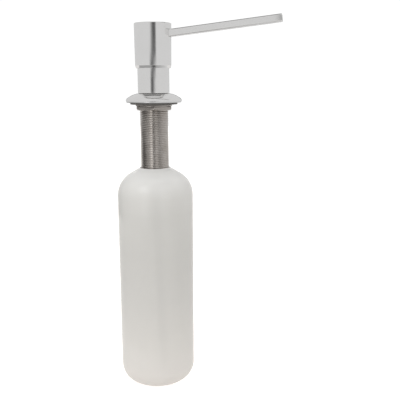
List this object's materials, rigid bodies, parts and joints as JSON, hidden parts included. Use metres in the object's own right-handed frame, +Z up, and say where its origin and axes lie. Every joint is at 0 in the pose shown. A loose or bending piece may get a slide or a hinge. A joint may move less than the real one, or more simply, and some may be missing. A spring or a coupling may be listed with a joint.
{
  "type": "deck-mounted soap dispenser",
  "caption": "Countertop pump soap dispenser: chrome press head with a slim swivelling spout, domed flange, threaded shank with clamp nut, and a milky screw-on bottle below the worktop.",
  "frame": {"origin": "centre of the worktop hole, on the worktop surface that the deck gasket sits on", "axes": "+Z up along the pump's axis, +X along the spout at rest, +Y to the left of the spout seen from behind the head"},
  "size_m": [0.1398, 0.0652, 0.3199],
  "materials": {
    "chrome": "polished, nearly mirror smooth",
    "steel": "drawn stainless steel wire and turned balls",
    "shank_metal": "dull, warm grey, machined thread",
    "rubber": "matt black",
    "seal_plastic": "soft grey seal",
    "white_plastic": "moulded white",
    "tube_plastic": "extruded, translucent white",
    "milky_plastic": "blow moulded, milky and translucent, satin"
  },
  "bodies": {
    "deck": {"flange": "chrome", "deck_gasket": "rubber", "shank": "shank_metal"},
    "washer": {"clamp_washer": "shank_metal"},
    "nut": {"mounting_nut": "shank_metal"},
    "pump": {"pump_cylinder": "white_plastic", "rod_guide": "white_plastic", "rod_wiper": "rubber", "closure": "white_plastic", "collar": "chrome", "collar_o_ring": "rubber", "cylinder_gasket": "rubber", "ball_cage": "white_plastic", "dip_tube": "tube_plastic", "return_spring": "steel"},
    "stem": {"piston_rod": "white_plastic", "piston": "seal_plastic", "piston_clip": "steel"},
    "head": {"head_cap": "chrome", "head_hub": "white_plastic", "spout_tube": "chrome", "spout_liner": "tube_plastic", "spout_tip": "chrome"},
    "outlet_valve": {"outlet_ball": "steel"},
    "inlet_valve": {"inlet_ball": "steel"},
    "neck_seal": {"bottle_seal": "rubber"},
    "bottle": {"bottle": "milky_plastic"}
  },
  "joints": [
    {"name": "pump_lift", "type": "slide", "parent": "deck", "child": "pump", "axis": [0, 0, 1], "range_m": [0, 0.26]},
    {"name": "head_press", "type": "slide", "parent": "pump", "child": "stem", "axis": [0, 0, -1], "range_m": [0, 0.014], "stiffness_N_per_m": 500, "springref_m": -0.012, "deforming": ["return_spring"]},
    {"name": "head_swivel", "type": "hinge", "parent": "stem", "child": "head", "pos_m": [0, 0, 0.05], "axis": [0, 0, 1], "continuous": true},
    {"name": "outlet_ball_lift", "type": "slide", "parent": "stem", "child": "outlet_valve", "axis": [0, 0, 1], "range_m": [0, 0.0015]},
    {"name": "inlet_ball_lift", "type": "slide", "parent": "pump", "child": "inlet_valve", "axis": [0, 0, 1], "range_m": [0, 0.0014]},
    {"name": "washer_travel", "type": "slide", "parent": "deck", "child": "washer", "axis": [0, 0, 1], "range_m": [-0.0376, 0]},
    {"name": "nut_turn", "type": "hinge", "parent": "washer", "child": "nut", "pos_m": [0, 0, -0.0035], "axis": [0, 0, 1], "range_deg": [-9000, 0]},
    {"name": "bottle_travel", "type": "slide", "parent": "deck", "child": "neck_seal", "axis": [0, 0, 1], "range_m": [-0.0121, 0]},
    {"name": "bottle_turn", "type": "hinge", "parent": "neck_seal", "child": "bottle", "pos_m": [0, 0, -0.068], "axis": [0, 0, 1], "range_deg": [-2880, 0]}
  ],
  "couplings": [
    {"joint": "washer_travel", "follows": "nut_turn", "m_per_rad": 0.00023873},
    {"joint": "bottle_travel", "follows": "bottle_turn", "m_per_rad": 0.00023873}
  ]
}
